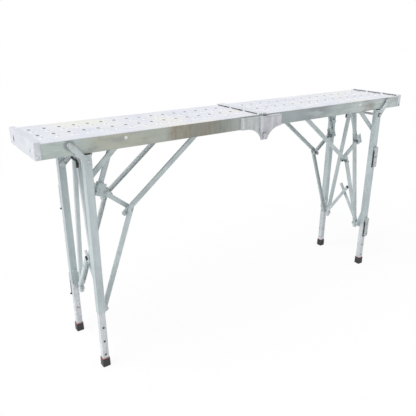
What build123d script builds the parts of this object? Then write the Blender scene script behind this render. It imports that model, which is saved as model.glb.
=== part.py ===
from build123d import *
import os
from math import atan2, cos, degrees, hypot, radians, sin, sqrt, tan

# Folding scaffold platform. X runs along the deck, Y across it, Z up from the floor.
# One half is modelled on the +X side, and the other is the same half turned half round Z.

# Deck
deck_length = 1900.0
deck_width = 304.0
deck_height = 940.0
rail_depth = 52.7
sheet_thick = 1.5
rail_wall = 1.8
rail_flange = 18.0
seam_gap = 0.6
end_wall = 2.0
end_lip_width = 20.0
end_lip_thick = 5.0
end_bottom_flange = 15.0
drain_height = 3.6
drain_depth = 12.0
drain_end = 12.0
drain_tab = 14.0
end_slot_length = 14.0
end_slot_width = 8.0
end_slot_inset = 47.0
end_slot_drop = 34.0

# Tread pattern
column_count = 16
end_column_inset = 50.0
seam_column_inset = 75.0
row_count = 4
row_inset = 71.0
drain_hole_radius = 6.0
grip_hole_radius = 3.5
grip_base_radius = 9.0
grip_rise = 1.8

# Rivets
rivet_radius = 3.0
rivet_head_radius = 6.5
rivet_head_rise = 3.0
rail_rivet_inset = 320.0
rail_rivet_drop = 24.0
cap_rivet_inset = 9.0
cap_rivet_rise = 9.0

# Centre hinge
hinge_drop = 31.0
hinge_standoff = 11.0
hinge_wall = 3.0
hinge_plate_rise = 48.0
hinge_reach_left = 117.0
hinge_reach_right = 94.0
hinge_arc_start = 90.0
hinge_lobe = 20.0
hinge_foot = 16.0
hinge_edge = 3.0
hinge_cover = 24.0
hinge_rib_width = 22.0
hinge_rib_rise = 4.0
hinge_bolt_radius = 6.0
hinge_head_radius = 11.0
hinge_head_rise = 6.0

# Legs
leg_inset = 171.0
leg_size = 28.0
leg_wall = 1.5
leg_outset = 8.0
leg_head_rise = 26.0
leg_bottom = 250.0
slide_clearance = 0.3
inner_wall = 1.5
inner_overlap = 390.0
inner_hole_radius = 4.5
inner_hole_first = 56.0
inner_hole_pitch = 63.0
inner_hole_count = 3
foot_size = 32.0
foot_flare = 0.8
foot_height = 39.0
foot_sole = 8.0
foot_clearance = 0.2

# Hanger strap between rail and leg head
hanger_inset = 114.0
hanger_drop = 23.0
head_pin_drop = 88.0
strap_thick = 4.0
strap_width = 20.0
strap_head_radius = 7.0
strap_head_rise = 2.5
fold_clearance = 6.0

# Stays and knees
link_thick = 10.0
link_width = 18.0
link_wall = 1.5
link_pad = 11.0
lane_gap = 1.0
knee_width = 19.0
knee_thick = 8.0
knee_gap = 1.0
link_pivot_drop = 38.0
knee_pivot_drop = 44.0
knee_pivot_inset = 302.0
lock_pivot_inset = 300.0
stay_node_inset = 338.0
stay_node_drop = 306.0
leg_pin_z = 246.0
leg_pin_inset = 198.0
link_tail = 11.0
stay_tail = 30.0
lock_link_angle = 39.0
lock_shoe_length = 50.0
lock_shoe_width = 30.0
lock_shoe_tail = 21.0
lock_shoe_wall = 2.0

# Pins
pin_radius = 5.0
rod_radius = 6.0
pin_head_radius = 9.0
pin_head_rise = 4.0
pin_end_play = 0.3
pin_clearance = 0.1
cut_over = 1.0

# Bearers under the deck sheet
bearer_wall = 2.0
bearer_headroom = 13.0
knee_bearer_inside = 28.0
knee_bearer_outside = 16.0
stay_bearer_half = 20.0
cheek_thick = 3.0
cheek_width = 20.0

# End frame bracing
brace_inset = 14.0
brace_size = 15.0
brace_wall = 1.2
brace_gap = 5.0
brace_foot_z = 236.0
brace_tail = 22.0
brace_head_y = 15.0
sleeve_radius = 11.0
lug_thick = 5.0
lug_width = 22.0
lug_rise = 50.0
cross_bar_width = 16.0
cross_bar_thick = 6.0
cross_bar_overhang = 3.0
cross_foot_inset = 8.0
cross_foot_rise = 18.0
cross_tip_y = 31.0
cross_tip_rise = 196.0

# Leg latches
latch_names = ("upper", "lower")
upper_latch_rise = 437.0
latch_length = 108.0
latch_standoff = 13.0
latch_width = 24.0
latch_hub_width = 13.0
latch_thick = 3.0
latch_foot_height = 10.0
latch_foot_gap = 5.0
latch_housing_height = 18.0
latch_housing_gap = 0.6
latch_housing_width = 19.0
latch_wall = 2.5
latch_base = 1.0
latch_pivot_drop = 5.0
latch_pivot_stand = 6.0
latch_pivot_radius = 2.5
latch_pin_stand = 1.0
latch_hub_radius = 4.5
latch_pin_radius = 4.0
latch_hole_clearance = 0.6
latch_tip_gap = 0.5

# Heights and widths that follow from the sizes above
half_length = deck_length / 2
leg_x = half_length - leg_inset
hanger_x = half_length - hanger_inset
leg_pin_x = half_length - leg_pin_inset
brace_x = leg_x - brace_inset
knee_pivot_x = half_length - knee_pivot_inset
lock_pivot_x = half_length - lock_pivot_inset
stay_node_x = half_length - stay_node_inset
hanger_z = deck_height - hanger_drop
head_pin_z = deck_height - head_pin_drop
leg_top = head_pin_z + leg_head_rise
link_pivot_z = deck_height - link_pivot_drop
knee_pivot_z = deck_height - knee_pivot_drop
stay_node_z = deck_height - stay_node_drop
half_width = deck_width / 2
sheet_top = deck_height - end_lip_thick
rail_top = sheet_top - sheet_thick
rail_bottom = rail_top - rail_depth
seam_face = seam_gap / 2
rail_start = seam_face + end_wall
rail_end = half_length - end_wall
web_inside = half_width - rail_wall
flange_inside = half_width - rail_flange
leg_out = half_width + leg_outset
leg_in = leg_out - leg_size
leg_y = (leg_out + leg_in) / 2
inner_size = leg_size - 2 * leg_wall - 2 * slide_clearance
inner_top = leg_bottom + inner_overlap
strap_in = leg_out + pin_end_play
strap_out = strap_in + strap_thick
hinge_z = rail_bottom - hinge_drop
bearer_bottom = link_pivot_z + bearer_headroom
bearer_top = rail_top - rail_wall - pin_end_play
hole_radius = pin_radius + pin_clearance
rod_hole_radius = rod_radius + pin_clearance

# Each row of links across the platform has its own lane, counted inwards from the leg
knee_out = leg_in - knee_gap
knee_in = knee_out - knee_thick
lower_out = knee_in - lane_gap
lower_in = lower_out - link_thick
upper_out = lower_in - lane_gap
upper_in = upper_out - link_thick
third_out = upper_in - lane_gap
third_in = third_out - link_thick
short_out = third_in - pin_head_rise - lane_gap
short_in = short_out - link_thick

# The deck carries each row of pivots on one cheek plate, and the drop bars on a pair
knee_cheek = knee_out + pin_end_play
stay_cheek = upper_in - pin_end_play - cheek_thick
drop_cheeks = (short_in - pin_end_play - cheek_thick, short_out + pin_end_play)

# The long braces lean inwards, so a pin head clears them by their width across the slope
brace_foot_y = lower_in - brace_gap - brace_size / 2
brace_lean = atan2(brace_foot_y - brace_head_y, head_pin_z - brace_foot_z)
brace_reach = brace_size / 2 / cos(brace_lean) + pin_head_radius * tan(brace_lean)

# Pivots of the folding leg, as (x, z). A folded leg lies level just under the rail.
hanger = (hanger_x, hanger_z)
leg_head = (leg_x, head_pin_z)
leg_pin = (leg_pin_x, leg_pin_z)
brace_foot = (brace_x, brace_foot_z)
stay_node = (stay_node_x, stay_node_z)
knee_pivot = (knee_pivot_x, knee_pivot_z)
lock_pivot = (lock_pivot_x, link_pivot_z)
strap_length = hypot(hanger_x - leg_x, hanger_z - head_pin_z)
folded_z = rail_bottom - fold_clearance - foot_size / 2
folded_head_x = hanger_x + sqrt(strap_length**2 - (hanger_z - folded_z) ** 2)
folded_pin_x = folded_head_x - (head_pin_z - leg_pin_z)
folded_pin_z = folded_z + leg_x - leg_pin_x

# The knee is as long with the leg folded as with it standing
knee_rest = (leg_x - knee_pivot_x, head_pin_z - knee_pivot_z)
knee_folded = (folded_head_x - knee_pivot_x, folded_z - knee_pivot_z)
knee_reach = hypot(*knee_folded) ** 2 - hypot(*knee_rest) ** 2
knee_drop = knee_reach / (2 * (knee_folded[0] - knee_rest[1]))
knee_foot = (leg_x, head_pin_z - knee_drop)

# The upper stay lies level when the leg is folded, which sets its pivot on the deck
lower_length = hypot(stay_node_x - leg_pin_x, stay_node_z - leg_pin_z)
folded_node_x = folded_pin_x + sqrt(lower_length**2 - (link_pivot_z - folded_pin_z) ** 2)
node_shift = folded_node_x - stay_node_x
node_drop = link_pivot_z - stay_node_z
stay_run = (node_drop**2 - node_shift**2) / (2 * node_shift)
stay_pivot = (stay_node_x - stay_run, link_pivot_z)

# The lock link and the drop bar lie in one level line when the leg is folded
lock_gap = folded_node_x - lock_pivot_x
lock_lean = (lock_pivot_x - stay_node_x, link_pivot_z - stay_node_z)
lock_dir = (cos(radians(lock_link_angle)), sin(radians(lock_link_angle)))
lock_along = lock_lean[0] * lock_dir[0] + lock_lean[1] * lock_dir[1]
lock_length = (hypot(*lock_lean) ** 2 - lock_gap**2) / (2 * (lock_gap + lock_along))
lock_node = (stay_node_x + lock_length * lock_dir[0], stay_node_z + lock_length * lock_dir[1])

rows = {"front": -1, "rear": 1}


def block(x0, x1, y0, y1, z0, z1):
    """Box between two opposite corners."""
    centre = Pos((x0 + x1) / 2, (y0 + y1) / 2, (z0 + z1) / 2)
    return centre * Box(abs(x1 - x0), abs(y1 - y0), abs(z1 - z0))


def rod(point, radius, y0, y1):
    """Round bar across the platform, through an (x, z) point."""
    return Pos(point[0], (y0 + y1) / 2, point[1]) * Rot(90, 0, 0) * Cylinder(radius, abs(y1 - y0))


def long_rod(y, z, radius, x0, x1):
    """Round bar along the platform."""
    return Pos((x0 + x1) / 2, y, z) * Rot(0, 90, 0) * Cylinder(radius, abs(x1 - x0))


def bore(point, radius, row, near, far):
    """Hole across the platform, run a little past both faces of what it goes through."""
    return rod(point, radius, row * (near - cut_over), row * (far + cut_over))


def past(start, end, tail):
    """Point a little past the end of a line between two (x, z) points."""
    share = tail / hypot(end[0] - start[0], end[1] - start[1])
    return end[0] + (end[0] - start[0]) * share, end[1] + (end[1] - start[1]) * share


def flat_bar(start, end, width, y0, y1):
    """Flat bar with round ends between two (x, z) points."""
    run = (end[0] - start[0], end[1] - start[1])
    middle = ((start[0] + end[0]) / 2, min(y0, y1), (start[1] + end[1]) / 2)
    side = Plane(origin=middle, x_dir=(run[0], 0, run[1]), z_dir=(0, 1, 0))
    return extrude(side * SlotCenterToCenter(hypot(*run), width), abs(y1 - y0))


def square_plate(start, end, back, tail, width, y0, y1):
    """Square-cut plate on the line between two (x, z) points, from short of its end to a little past it."""
    near = past(start, end, -back)
    far = past(start, end, tail)
    middle = ((near[0] + far[0]) / 2, min(y0, y1), (near[1] + far[1]) / 2)
    side = Plane(origin=middle, x_dir=(end[0] - start[0], 0, end[1] - start[1]), z_dir=(0, 1, 0))
    return extrude(side * Rectangle(back + tail, width), abs(y1 - y0))


def channel_link(start, end, width, inner, outer, row):
    """Pressed link with solid round ends, and a channel open to the middle of the platform."""
    run = (end[0] - start[0], end[1] - start[1])
    link = flat_bar(start, end, width, row * inner, row * outer)
    middle = ((start[0] + end[0]) / 2, row * inner, (start[1] + end[1]) / 2)
    side = Plane(origin=middle, x_dir=(run[0], 0, run[1]), z_dir=(0, row, 0))
    channel = side * Rectangle(hypot(*run) - 2 * link_pad, width - 2 * link_wall)
    return link - extrude(channel, outer - inner - link_wall)


def square_tube(size, wall, z0, z1):
    """Upright square tube on the Z axis."""
    outer = Box(size, size, z1 - z0)
    inner = Box(size - 2 * wall, size - 2 * wall, z1 - z0)
    return Pos(0, 0, (z0 + z1) / 2) * (outer - inner)


def tread_points(turned):
    """Centres of the drain holes and of the raised grip holes; the rows alternate from the rear."""
    drains = []
    grips = []
    column_pitch = (half_length - end_column_inset - seam_column_inset) / (column_count - 1)
    row_pitch = (deck_width - 2 * row_inset) / (row_count - 1)
    for column in range(column_count):
        x = half_length - end_column_inset - column * column_pitch
        for row in range(row_count):
            y = (half_width - row_inset - row * row_pitch) * turned
            (grips if row % 2 else drains).append((x, y))
    return drains, grips


def deck_sheet(turned):
    """Steel tread sheet with punched drain holes and grip holes pressed up into short cones."""
    drains, grips = tread_points(turned)
    face = Pos((rail_start + rail_end) / 2, 0) * Rectangle(rail_end - rail_start, deck_width)
    holes = [Pos(x, y) * Circle(drain_hole_radius) for x, y in drains]
    holes += [Pos(x, y) * Circle(grip_hole_radius) for x, y in grips]
    sheet = Pos(0, 0, rail_top) * extrude(face - holes, sheet_thick)
    crown_radius = grip_hole_radius + (grip_base_radius - grip_hole_radius) / 3
    cone_place = Pos(0, 0, sheet_top + grip_rise / 2)
    cone = cone_place * Cone(grip_base_radius, crown_radius, grip_rise)
    cone -= cone_place * Cylinder(grip_hole_radius, grip_rise)
    return sheet + [Pos(x, y, 0) * cone for x, y in grips]


def side_rail(row):
    """Channel rail along one side of a deck half, open to the inside."""
    outer = row * half_width
    rail = block(rail_start, rail_end, row * web_inside, outer, rail_bottom, rail_top)
    rail += block(rail_start, rail_end, row * flange_inside, outer, rail_top - rail_wall, rail_top)
    rail += block(rail_start, rail_end, row * flange_inside, outer, rail_bottom, rail_bottom + rail_wall)
    rail -= bore(hanger, hole_radius, row, web_inside, half_width)
    for point in rivet_points():
        rail -= bore(point, rivet_radius + pin_clearance, row, web_inside, half_width)
    return rail


def drain_slots(near, far):
    """Three long gaps under the edge of an end lip, with two tabs between them."""
    length = (deck_width - 2 * drain_end - 2 * drain_tab) / 3
    starts = [-half_width + drain_end + step * (length + drain_tab) for step in range(3)]
    return [block(near, far, y, y + length, sheet_top, sheet_top + drain_height) for y in starts]


def end_cap():
    """Pressed cap that closes the outer end and wraps round both corners onto the rails."""
    reach = half_width + end_wall
    near = half_length - end_lip_width
    cap = block(rail_end, half_length, -reach, reach, rail_bottom, deck_height)
    cap += block(near, half_length, -reach, reach, sheet_top, deck_height)
    for row in rows.values():
        cap += block(near, half_length, row * half_width, row * reach, rail_bottom, deck_height)
        point = (half_length - cap_rivet_inset, rail_bottom + cap_rivet_rise)
        cap -= bore(point, rivet_radius + pin_clearance, row, half_width, reach)
    floor = half_length - end_wall - end_bottom_flange
    edge = flange_inside - pin_clearance
    cap += block(floor, rail_end, -edge, edge, rail_bottom, rail_bottom + rail_wall)
    cap -= drain_slots(near, near + drain_depth)
    slot_z = deck_height - end_slot_drop
    end_face = Plane(origin=(rail_end - cut_over, 0, slot_z), x_dir=(0, 0, 1), z_dir=(1, 0, 0))
    for row in rows.values():
        place = end_face * Pos(0, row * (half_width - end_slot_inset))
        cap -= extrude(place * SlotOverall(end_slot_length, end_slot_width), end_wall + 2 * cut_over)
    return cap


def seam_rail():
    """Cross channel at the hinge end of a deck half."""
    rail = block(seam_face, rail_start, -half_width, half_width, rail_bottom, deck_height)
    rail += block(seam_face, end_lip_width, -half_width, half_width, sheet_top, deck_height)
    edge = flange_inside - pin_clearance
    floor = rail_start + end_bottom_flange
    rail += block(rail_start, floor, -edge, edge, rail_bottom, rail_bottom + rail_wall)
    return rail - drain_slots(end_lip_width - drain_depth, end_lip_width)


def bearer(near, far):
    """Cross channel under the tread sheet, from rail to rail."""
    beam = block(near, far, -web_inside, web_inside, bearer_bottom, bearer_top)
    inside = block(near + bearer_wall, far - bearer_wall, -web_inside, web_inside, bearer_bottom,
                   bearer_top - bearer_wall)
    return beam - inside


def pivot_cheeks(pivot, starts):
    """Cheek plates under a bearer, bored for a pin; each starts at its face nearer the middle."""
    top = (pivot[0], bearer_top - cheek_width / 2)
    plates = []
    for row in rows.values():
        for near in starts:
            far = near + cheek_thick
            plate = flat_bar(pivot, top, cheek_width, row * near, row * far)
            plates.append(plate - bore(pivot, hole_radius, row, near, far))
    return plates


def knee_bearer():
    """Bearer that carries the knee bars and the drop bars."""
    beam = bearer(lock_pivot_x - knee_bearer_inside, knee_pivot_x + knee_bearer_outside)
    beam += pivot_cheeks(knee_pivot, [knee_cheek])
    return beam + pivot_cheeks(lock_pivot, drop_cheeks)


def stay_bearer():
    """Bearer that carries the upper stays."""
    beam = bearer(stay_pivot[0] - stay_bearer_half, stay_pivot[0] + stay_bearer_half)
    return beam + pivot_cheeks(stay_pivot, [stay_cheek])


def headed_pin(point, tip, seat, row):
    """Pin from its plain tip to a head that bears on a seat further out or further in."""
    crown = seat + (pin_head_rise if seat > tip else -pin_head_rise)
    pin = rod(point, pin_radius, row * tip, row * crown)
    return pin + rod(point, pin_head_radius, row * seat, row * crown)


def deck_pins():
    """Pins fixed in a deck half, for its straps, knees, drop bars and upper stays."""
    pins = []
    for row in rows.values():
        far = strap_out + pin_end_play
        stud = rod(hanger, pin_radius, row * (web_inside - pin_head_rise), row * (far + strap_head_rise))
        stud += rod(hanger, pin_head_radius, row * half_width, row * leg_out)
        stud += rod(hanger, strap_head_radius, row * far, row * (far + strap_head_rise))
        pins.append(stud)
        pins.append(headed_pin(knee_pivot, knee_in, knee_cheek + cheek_thick, row))
        pins.append(headed_pin(lock_pivot, drop_cheeks[0], drop_cheeks[1] + cheek_thick, row))
        pins.append(headed_pin(stay_pivot, upper_out, stay_cheek, row))
    return pins


def rivet_points():
    """Rivets through a side rail, as (x, z)."""
    rail_rivet = (half_length - rail_rivet_inset, deck_height - rail_rivet_drop)
    cap_rivet = (half_length - cap_rivet_inset, rail_bottom + cap_rivet_rise)
    return rail_rivet, cap_rivet


def rivets():
    """Dome-headed rivets along both rails of a deck half."""
    dome_radius = (rivet_head_radius**2 + rivet_head_rise**2) / (2 * rivet_head_rise)
    solids = []
    for row in rows.values():
        for point, seat in zip(rivet_points(), (half_width, half_width + end_wall)):
            crown = row * (seat + rivet_head_rise)
            ball = Pos(point[0], crown - row * dome_radius, point[1]) * Sphere(dome_radius)
            head = ball - rod(point, 2 * dome_radius, row * (seat - 2 * dome_radius), row * seat)
            solids.append(head + rod(point, rivet_radius, row * web_inside, row * seat))
    return solids


def hinge_plate(side, row):
    """Dished hinge plate on the outer face of a rail; the right one laps over the left one."""
    left = side == "left"
    out = -1 if left else 1
    reach = hinge_reach_left if left else hinge_reach_right
    inner_edge = hinge_edge if left else -hinge_cover
    skin = half_width + hinge_standoff + (0 if left else hinge_wall + pin_end_play)
    top = rail_bottom + hinge_plate_rise
    lobe_low = hinge_z - hinge_lobe
    arc_end = (out * (hinge_foot + hinge_edge), lobe_low + hinge_lobe / 2)
    outline = [
        Line((out * hinge_arc_start, rail_bottom), (out * reach, rail_bottom)),
        Line((out * reach, rail_bottom), (out * reach, top)),
        Line((out * reach, top), (out * inner_edge, top)),
        Line((out * inner_edge, top), (out * inner_edge, rail_bottom)),
        Line((out * inner_edge, rail_bottom), (-out * hinge_lobe, hinge_z + hinge_lobe)),
        Line((-out * hinge_lobe, hinge_z + hinge_lobe), (-out * hinge_lobe, hinge_z)),
        Line((-out * hinge_lobe, hinge_z), (-out * hinge_foot, lobe_low)),
        Line((-out * hinge_foot, lobe_low), (out * hinge_foot, lobe_low)),
        Line((out * hinge_foot, lobe_low), arc_end),
        TangentArc((out * hinge_arc_start, rail_bottom), arc_end, tangent=(-out, 0)),
    ]
    face = Plane(origin=(0, row * skin, 0), x_dir=(1, 0, 0), z_dir=(0, -1, 0))
    plate = extrude(face * make_face(outline), -row * hinge_wall)
    flange_start = inner_edge if left else hinge_lobe + 2 * hinge_edge
    plate += block(out * flange_start, out * reach, row * half_width, row * skin, top - hinge_wall, top)
    plate += block(out * (reach - hinge_wall), out * reach, row * half_width, row * skin, rail_bottom, top)
    if not left:
        rib_end = -hinge_cover + hinge_rib_width
        rib_low = hinge_z + hinge_head_radius + hinge_edge
        face_out = skin + hinge_wall
        plate += block(-hinge_cover, rib_end, row * face_out, row * (face_out + hinge_rib_rise), rib_low, top)
    bolt_hole = hinge_bolt_radius + pin_clearance
    return plate - bore((0, hinge_z), bolt_hole, row, skin, skin + hinge_wall)


def hinge_bolts():
    """Shouldered bolts that both deck halves turn on."""
    bolts = []
    pivot = (0, hinge_z)
    skin = half_width + hinge_standoff
    far = skin + 2 * hinge_wall + 2 * pin_end_play
    for row in rows.values():
        bolt = rod(pivot, hinge_bolt_radius, row * (skin - hinge_head_rise), row * (far + hinge_head_rise))
        bolt += rod(pivot, hinge_head_radius, row * far, row * (far + hinge_head_rise))
        nut = Pos(0, row * (skin - pin_end_play / 2), hinge_z) * Rot(90 * row, 0, 0)
        bolt += nut * extrude(RegularPolygon(hinge_head_radius, 6), hinge_head_rise)
        bolts.append(bolt)
    return bolts


def straps():
    """Flat hanger straps from the rails down to the leg heads."""
    solids = []
    for row in rows.values():
        strap = flat_bar(hanger, leg_head, strap_width, row * strap_in, row * strap_out)
        strap -= bore(hanger, hole_radius, row, strap_in, strap_out)
        strap -= bore(leg_head, rod_hole_radius, row, strap_in, strap_out)
        solids.append(strap)
    return solids


def latch_top(name):
    """Height of the top of a latch; the pin of the lower one meets the top height hole."""
    if name == "upper":
        return leg_bottom + upper_latch_rise
    top_hole = inner_hole_first + (inner_hole_count - 1) * inner_hole_pitch
    return top_hole - latch_foot_height / 2 + latch_length


def latch_pin_z(name):
    """Height of a latch pin."""
    return latch_top(name) - latch_length + latch_foot_height / 2


def outer_leg(row, latched):
    """Upper leg tube with a pin lug welded on its inner face."""
    leg = Pos(leg_x, row * leg_y, 0) * square_tube(leg_size, leg_wall, leg_bottom, leg_top)
    inside = leg_in - lug_thick
    for point in (leg_pin, brace_foot):
        leg += flat_bar(point, (leg_x, leg_bottom + lug_rise), lug_width, row * inside, row * leg_in)
    for point in (leg_pin, brace_foot):
        leg -= bore(point, hole_radius, row, inside, leg_in - cut_over)
    leg -= bore(leg_head, rod_hole_radius, row, leg_in, leg_out)
    if latched:
        hole = (leg_x, latch_pin_z("upper"))
        leg -= bore(hole, latch_pin_radius + latch_hole_clearance, row, leg_out - leg_wall, leg_out)
    return leg


def inner_leg(row, latched):
    """Lower leg tube that slides in the upper one, with height holes on its outer side."""
    leg = Pos(leg_x, row * leg_y, 0) * square_tube(inner_size, inner_wall, foot_sole, inner_top)
    heights = [inner_hole_first + step * inner_hole_pitch for step in range(inner_hole_count)]
    if latched:
        heights.append(latch_pin_z("upper"))
    for z in heights:
        leg -= rod((leg_x, z), inner_hole_radius, row * leg_y, row * (leg_y + inner_size))
    return leg


def foot(row):
    """Rubber foot cap, a little wider at the floor."""
    base = Rectangle(foot_size, foot_size)
    rim = Pos(0, 0, foot_height) * Rectangle(foot_size - 2 * foot_flare, foot_size - 2 * foot_flare)
    cap = loft([base, rim])
    socket_size = inner_size + 2 * foot_clearance
    depth = foot_height - foot_sole
    cap -= Pos(0, 0, foot_sole + depth / 2) * Box(socket_size, socket_size, depth)
    return Pos(leg_x, row * leg_y, 0) * cap


def leg_pins():
    """Head rod through both legs and straps, and two stub pins in each leg lug."""
    far = strap_out + pin_end_play
    head_rod = rod(leg_head, rod_radius, -far - strap_head_rise, far + strap_head_rise)
    pins = []
    for row in rows.values():
        head_rod += rod(leg_head, strap_head_radius, row * far, row * (far + strap_head_rise))
        pin = rod(leg_pin, pin_radius, row * lower_in, row * leg_in)
        collar = (lower_out + pin_end_play, leg_in - lug_thick)
        pins.append(pin + rod(leg_pin, pin_head_radius, row * collar[0], row * collar[1]))
        pins.append(headed_pin(brace_foot, leg_in, brace_foot_y - brace_reach - pin_end_play, row))
    return [head_rod] + pins


def long_braces():
    """Square tubes from the leg lugs up to a sleeve on the middle of the head rod."""
    sleeve_reach = brace_head_y + brace_size
    braces = rod(leg_head, sleeve_radius, -sleeve_reach, sleeve_reach)
    braces -= bore(leg_head, rod_hole_radius, 1, -sleeve_reach, sleeve_reach)
    half_run = hypot(brace_foot_y - brace_head_y, head_pin_z - brace_foot_z) / 2
    top = half_run + brace_size / 2
    for row in rows.values():
        middle = Pos(brace_x, row * (brace_foot_y + brace_head_y) / 2, (head_pin_z + brace_foot_z) / 2)
        lean = Rot(row * degrees(brace_lean), 0, 0)
        tube = middle * lean * square_tube(brace_size, brace_wall, -half_run - brace_tail, top)
        pin_hole = bore(brace_foot, hole_radius, row, brace_foot_y - brace_reach, brace_foot_y + brace_reach)
        braces += tube - pin_hole
    return braces


def cross_brace():
    """Two flat bars crossed over the outer and inner faces of the long braces, riveted where they cross."""
    foot_y = brace_foot_y - cross_foot_inset
    foot_z = brace_foot_z + cross_foot_rise
    run = (foot_y + cross_tip_y, cross_tip_rise - cross_foot_rise)
    middle_y = (foot_y - cross_tip_y) / 2
    middle_z = foot_z + run[1] / 2
    bar = Rectangle(hypot(*run) + 2 * cross_bar_overhang, cross_bar_width)
    rivet_reach = brace_size / 2 + cross_bar_thick + pin_head_rise
    crossing_z = foot_z + run[1] * foot_y / run[0]
    brace = long_rod(0, crossing_z, pin_radius, brace_x - rivet_reach, brace_x + rivet_reach)
    for out in (-1, 1):
        origin = (brace_x + out * brace_size / 2, -out * middle_y, middle_z)
        face = Plane(origin=origin, x_dir=(0, out * run[0], run[1]), z_dir=(out, 0, 0))
        brace += extrude(face * bar, cross_bar_thick)
    return brace


def knees():
    """Knee bars from the deck to the legs, each with a boss towards the leg."""
    solids = []
    for row in rows.values():
        knee = channel_link(knee_pivot, knee_foot, knee_width, knee_in, knee_out, row)
        knee -= bore(knee_pivot, hole_radius, row, knee_in, knee_out)
        knee += rod(knee_foot, pin_head_radius, row * knee_out, row * (leg_in - pin_end_play))
        solids.append(knee)
    return solids


def upper_stays():
    """Stays from the deck down past the stay node, with the node pin fixed in them."""
    solids = []
    for row in rows.values():
        tip = past(stay_pivot, stay_node, stay_tail)
        stay = channel_link(stay_pivot, tip, link_width, upper_in, upper_out, row)
        stay -= bore(stay_pivot, hole_radius, row, upper_in, upper_out)
        stop = third_in - pin_end_play
        stay += rod(stay_node, pin_radius, row * (stop - pin_head_rise), row * upper_out)
        stay += rod(stay_node, pin_head_radius, row * (stop - pin_head_rise), row * stop)
        solids.append(stay)
    return solids


def lower_stays():
    """Stays from the leg pins up past the stay node, each with a boss at the node."""
    solids = []
    for row in rows.values():
        tip = past(leg_pin, stay_node, link_tail)
        stay = channel_link(leg_pin, tip, link_width, lower_in, lower_out, row)
        stay -= bore(leg_pin, hole_radius, row, lower_in, lower_out)
        stay += rod(stay_node, pin_head_radius, row * (upper_out + pin_end_play), row * lower_in)
        solids.append(stay)
    return solids


def lock_links():
    """Links from the stay node up into the shoes of the drop bars."""
    solids = []
    for row in rows.values():
        tail = past(lock_node, stay_node, link_tail)
        link = flat_bar(tail, stay_node, link_width, row * third_in, row * third_out)
        link += channel_link(stay_node, lock_node, link_width, third_in, third_out, row)
        solids.append(link - bore(stay_node, hole_radius, row, third_in, third_out))
    return solids


def lock_shoe(row):
    """Strip bent into a U under the end of a drop bar, round the lock link, with a rivet head outside."""
    outer = third_out + pin_end_play
    far = outer + lock_shoe_wall
    back = lock_shoe_length - lock_shoe_tail
    web_back = lock_shoe_wall - lock_shoe_tail
    near_plate = (short_in, short_in + lock_shoe_wall)
    shoe = rod(lock_node, strap_head_radius, row * outer, row * (far + strap_head_rise))
    for reach, faces in ((back, near_plate), (back, (outer, far)), (web_back, (short_in, far))):
        y0, y1 = row * faces[0], row * faces[1]
        shoe += square_plate(lock_pivot, lock_node, reach, lock_shoe_tail, lock_shoe_width, y0, y1)
    return shoe


def drop_bars():
    """Short bars from the deck down to the shoes that hold the lock links."""
    solids = []
    for row in rows.values():
        bar = channel_link(lock_pivot, lock_node, link_width, short_in, short_out, row)
        bar -= bore(lock_pivot, hole_radius, row, short_in, short_out)
        bar += rod(lock_node, pin_head_radius, row * short_out, row * (third_in - pin_end_play))
        bar += rod(lock_node, pin_head_radius, row * (short_in - pin_head_rise), row * short_in)
        solids.append(bar + lock_shoe(row))
    return solids


def latch_pivot(name):
    """Pivot of a latch handle, as its reach from the middle of the platform and its height."""
    return leg_out + latch_pivot_stand, latch_top(name) - latch_pivot_drop


def latch_housings(row):
    """Folded brackets on the outer face of the latched leg, each with its hinge pin."""
    side = latch_housing_width / 2
    deep = leg_out + latch_standoff - latch_thick - latch_housing_gap
    reach = side + latch_pin_stand
    housings = []
    for name in latch_names:
        top = latch_top(name)
        low = top - latch_housing_height
        base = leg_out + latch_base
        housing = block(leg_x - side, leg_x + side, row * leg_out, row * base, low, top)
        for near in (leg_x - side, leg_x + side - latch_wall):
            housing += block(near, near + latch_wall, row * leg_out, row * deep, low, top)
        pivot_y, pivot_z = latch_pivot(name)
        pin = long_rod(row * pivot_y, pivot_z, latch_pivot_radius, leg_x - reach, leg_x + reach)
        housings.append(housing + pin)
    return housings


def latch_lever(name, row):
    """Sprung handle along the leg: hub and arm between the cheeks, wide leaf, and a foot with the pin."""
    pivot_y, pivot_z = latch_pivot(name)
    low = latch_top(name) - latch_length
    far = leg_out + latch_standoff
    near = far - latch_thick
    x0 = leg_x - latch_width / 2
    x1 = leg_x + latch_width / 2
    hub_x0 = leg_x - latch_hub_width / 2
    hub_x1 = leg_x + latch_hub_width / 2
    arm_top = pivot_z + latch_thick / 2
    lever = block(x0, x1, row * near, row * far, low, arm_top)
    lever += block(hub_x0, hub_x1, row * pivot_y, row * far, arm_top - latch_thick, arm_top)
    lever += long_rod(row * pivot_y, pivot_z, latch_hub_radius, hub_x0, hub_x1)
    pivot_hole = latch_pivot_radius + pin_clearance
    lever -= long_rod(row * pivot_y, pivot_z, pivot_hole, hub_x0 - cut_over, hub_x1 + cut_over)
    lever += block(x0, x1, row * (leg_out + latch_foot_gap), row * far, low, low + latch_foot_height)
    backed = leg_out - leg_wall if name == "upper" else leg_y + inner_size / 2
    pin = rod((leg_x, latch_pin_z(name)), latch_pin_radius, row * (backed + latch_tip_gap), row * near)
    return lever + pin


def save(name, shape, side):
    """Turn the left half round, and write one node."""
    solids = shape if isinstance(shape, list) else [shape]
    if side == "left":
        solids = [solid.rotate(Axis.Z, 180) for solid in solids]
    node = solids[0] if len(solids) == 1 else Compound(children=solids)
    export_step(node, f"parts/{name}.step")


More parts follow.
